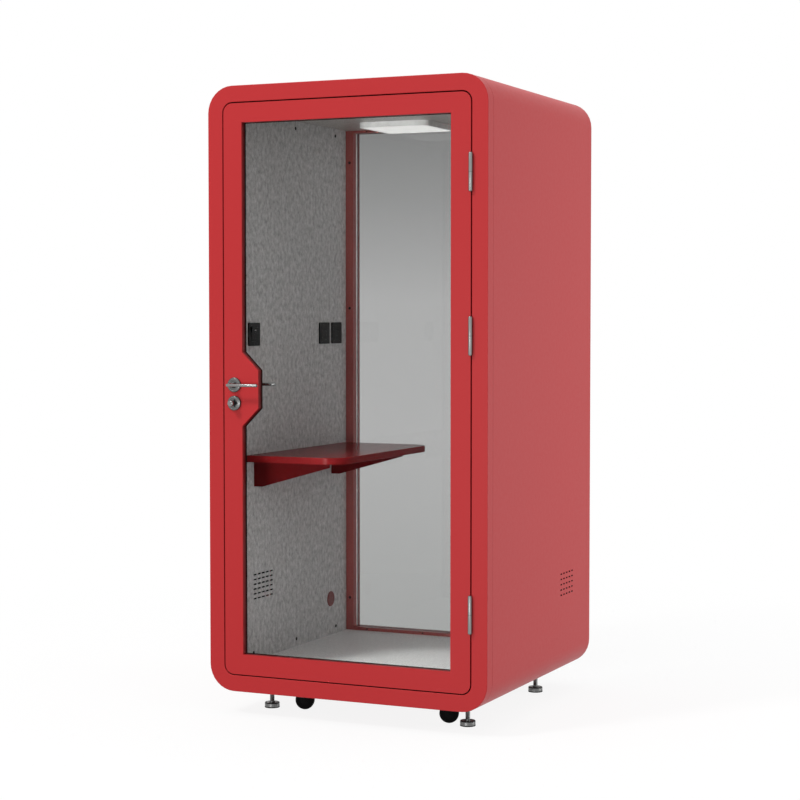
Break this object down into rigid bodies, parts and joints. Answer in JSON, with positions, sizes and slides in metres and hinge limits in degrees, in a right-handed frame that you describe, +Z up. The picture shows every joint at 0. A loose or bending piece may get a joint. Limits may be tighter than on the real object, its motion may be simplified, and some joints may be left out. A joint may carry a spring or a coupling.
{
  "type": "office phone booth",
  "caption": "Freestanding one-person phone booth with rounded steel shell, glazed swing door, glass rear wall, felt lining, wall desk, ceiling light, levelling feet and casters.",
  "frame": {"origin": "on the floor, under the middle of the bounding box, which the outside lever's bar and the rear edge of the shell limit front and back", "axes": "+Z up, -Y towards the side with the door, +X to the right seen from the front, where the door's hinges are"},
  "size_m": [1.1, 1.1358, 2.3],
  "materials": {
    "red_paint": "fine-texture powder coat",
    "dark_red_paint": "fine-texture powder coat",
    "dark_red_board": "painted board, satin",
    "dark_red_plastic": "satin",
    "glass": "clear, polished",
    "felt": "mottled wool felt",
    "insulation": "pressed fibre",
    "ceiling_laminate": "semi-gloss",
    "white_plastic": "satin",
    "light": "opal",
    "board": "plywood",
    "vinyl": "satin vinyl",
    "zinc": "zinc plated",
    "black_plastic": "satin",
    "black_steel": "satin black",
    "black_rubber": "matte",
    "rubber": "matte",
    "satin_steel": "satin"
  },
  "bodies": {
    "booth": {"front_frame": "red_paint", "shell_left": "red_paint", "shell_right": "red_paint", "rear_frame": "red_paint", "rear_post_left": "dark_red_paint", "rear_post_right": "dark_red_paint", "rear_rail_top": "dark_red_paint", "rear_rail_bottom": "dark_red_paint", "rear_glass": "glass", "felt_wall_left": "felt", "felt_wall_right": "felt", "insulation": "insulation", "ceiling_panel": "ceiling_laminate", "light_housing": "white_plastic", "light_diffuser": "light", "floor_board": "board", "floor_covering": "vinyl", "base_frame": "zinc", "desk_top": "dark_red_board", "desk_bracket_front": "dark_red_paint", "desk_bracket_rear": "dark_red_paint", "socket_front": "black_plastic", "socket_rear": "black_plastic", "switch_plate": "black_plastic", "cable_cover": "dark_red_plastic", "strike_plate": "satin_steel", "fan_housing": "black_plastic", "hinge_frame_1": "satin_steel", "hinge_frame_2": "satin_steel", "hinge_frame_3": "satin_steel"},
    "rocker": {"switch_rocker": "black_plastic"},
    "fan": {"fan_rotor": "black_plastic"},
    "door": {"door_outer_frame": "red_paint", "door_inner_frame": "red_paint", "door_glass": "glass", "door_seal": "rubber", "lock_case": "satin_steel", "outer_rose": "satin_steel", "outer_escutcheon": "satin_steel", "inner_plate": "satin_steel", "hinge_door_1": "satin_steel", "hinge_door_2": "satin_steel", "hinge_door_3": "satin_steel"},
    "lever": {"lever_outside": "satin_steel", "lever_inside": "satin_steel"},
    "latch": {"latch_bolt": "satin_steel"},
    "bolt": {"deadbolt": "satin_steel"},
    "knob": {"thumb_turn": "satin_steel"},
    "foot_front_left": {"foot_front_left": "zinc"},
    "fork_front_left": {"caster_fork_front_left": "black_steel"},
    "wheel_front_left": {"caster_wheel_front_left": "black_rubber"},
    "foot_front_right": {"foot_front_right": "zinc"},
    "fork_front_right": {"caster_fork_front_right": "black_steel"},
    "wheel_front_right": {"caster_wheel_front_right": "black_rubber"},
    "foot_rear_left": {"foot_rear_left": "zinc"},
    "fork_rear_left": {"caster_fork_rear_left": "black_steel"},
    "wheel_rear_left": {"caster_wheel_rear_left": "black_rubber"},
    "foot_rear_right": {"foot_rear_right": "zinc"},
    "fork_rear_right": {"caster_fork_rear_right": "black_steel"},
    "wheel_rear_right": {"caster_wheel_rear_right": "black_rubber"}
  },
  "joints": [
    {"name": "door_swing", "type": "hinge", "parent": "booth", "child": "door", "pos_m": [0.48825, -0.52472, 1.2], "axis": [0, 0, 1], "range_deg": [0, 120]},
    {"name": "lever_turn", "type": "hinge", "parent": "door", "child": "lever", "pos_m": [-0.443, -0.51712, 1.2157], "axis": [0, 1, 0], "range_deg": [0, 45], "stiffness_Nm_per_rad": 1.5, "springref_deg": -28.65},
    {"name": "latch_slide", "type": "slide", "parent": "door", "child": "latch", "axis": [1, 0, 0], "range_m": [0, 0.012]},
    {"name": "knob_turn", "type": "hinge", "parent": "door", "child": "knob", "pos_m": [-0.443, -0.51712, 1.1492], "axis": [0, 1, 0], "range_deg": [0, 90]},
    {"name": "bolt_slide", "type": "slide", "parent": "door", "child": "bolt", "axis": [-1, 0, 0], "range_m": [0, 0.014]},
    {"name": "rocker_tilt", "type": "hinge", "parent": "booth", "child": "rocker", "pos_m": [-0.4792, -0.30112, 1.3975], "axis": [0, 1, 0], "range_deg": [-8, 0]},
    {"name": "fan_spin", "type": "hinge", "parent": "booth", "child": "fan", "pos_m": [-0.506, -0.22862, 0.445], "axis": [1, 0, 0], "continuous": true},
    {"name": "foot_front_left_screw", "type": "slide", "parent": "booth", "child": "foot_front_left", "axis": [0, 0, -1], "range_m": [0, 0.02]},
    {"name": "caster_front_left_swivel", "type": "hinge", "parent": "booth", "child": "fork_front_left", "pos_m": [-0.2915, -0.33013, 0.09], "axis": [0, 0, 1], "continuous": true},
    {"name": "caster_front_left_roll", "type": "hinge", "parent": "fork_front_left", "child": "wheel_front_left", "pos_m": [-0.25955, -0.3185, 0.039], "axis": [-0.342, 0.9397, 0], "continuous": true},
    {"name": "foot_front_right_screw", "type": "slide", "parent": "booth", "child": "foot_front_right", "axis": [0, 0, -1], "range_m": [0, 0.02]},
    {"name": "caster_front_right_swivel", "type": "hinge", "parent": "booth", "child": "fork_front_right", "pos_m": [0.2915, -0.33013, 0.09], "axis": [0, 0, 1], "continuous": true},
    {"name": "caster_front_right_roll", "type": "hinge", "parent": "fork_front_right", "child": "wheel_front_right", "pos_m": [0.32345, -0.3185, 0.039], "axis": [-0.342, 0.9397, 0], "continuous": true},
    {"name": "foot_rear_left_screw", "type": "slide", "parent": "booth", "child": "foot_rear_left", "axis": [0, 0, -1], "range_m": [0, 0.02]},
    {"name": "caster_rear_left_swivel", "type": "hinge", "parent": "booth", "child": "fork_rear_left", "pos_m": [-0.2915, 0.37988, 0.09], "axis": [0, 0, 1], "continuous": true},
    {"name": "caster_rear_left_roll", "type": "hinge", "parent": "fork_rear_left", "child": "wheel_rear_left", "pos_m": [-0.32345, 0.36825, 0.039], "axis": [0.342, -0.9397, 0], "continuous": true},
    {"name": "foot_rear_right_screw", "type": "slide", "parent": "booth", "child": "foot_rear_right", "axis": [0, 0, -1], "range_m": [0, 0.02]},
    {"name": "caster_rear_right_swivel", "type": "hinge", "parent": "booth", "child": "fork_rear_right", "pos_m": [0.2915, 0.37988, 0.09], "axis": [0, 0, 1], "continuous": true},
    {"name": "caster_rear_right_roll", "type": "hinge", "parent": "fork_rear_right", "child": "wheel_rear_right", "pos_m": [0.25955, 0.36825, 0.039], "axis": [0.342, -0.9397, 0], "continuous": true}
  ],
  "couplings": [
    {"joint": "latch_slide", "follows": "lever_turn", "m_per_rad": 0.01527},
    {"joint": "knob_turn", "follows": "bolt_slide", "rad_per_m": 112.19}
  ]
}
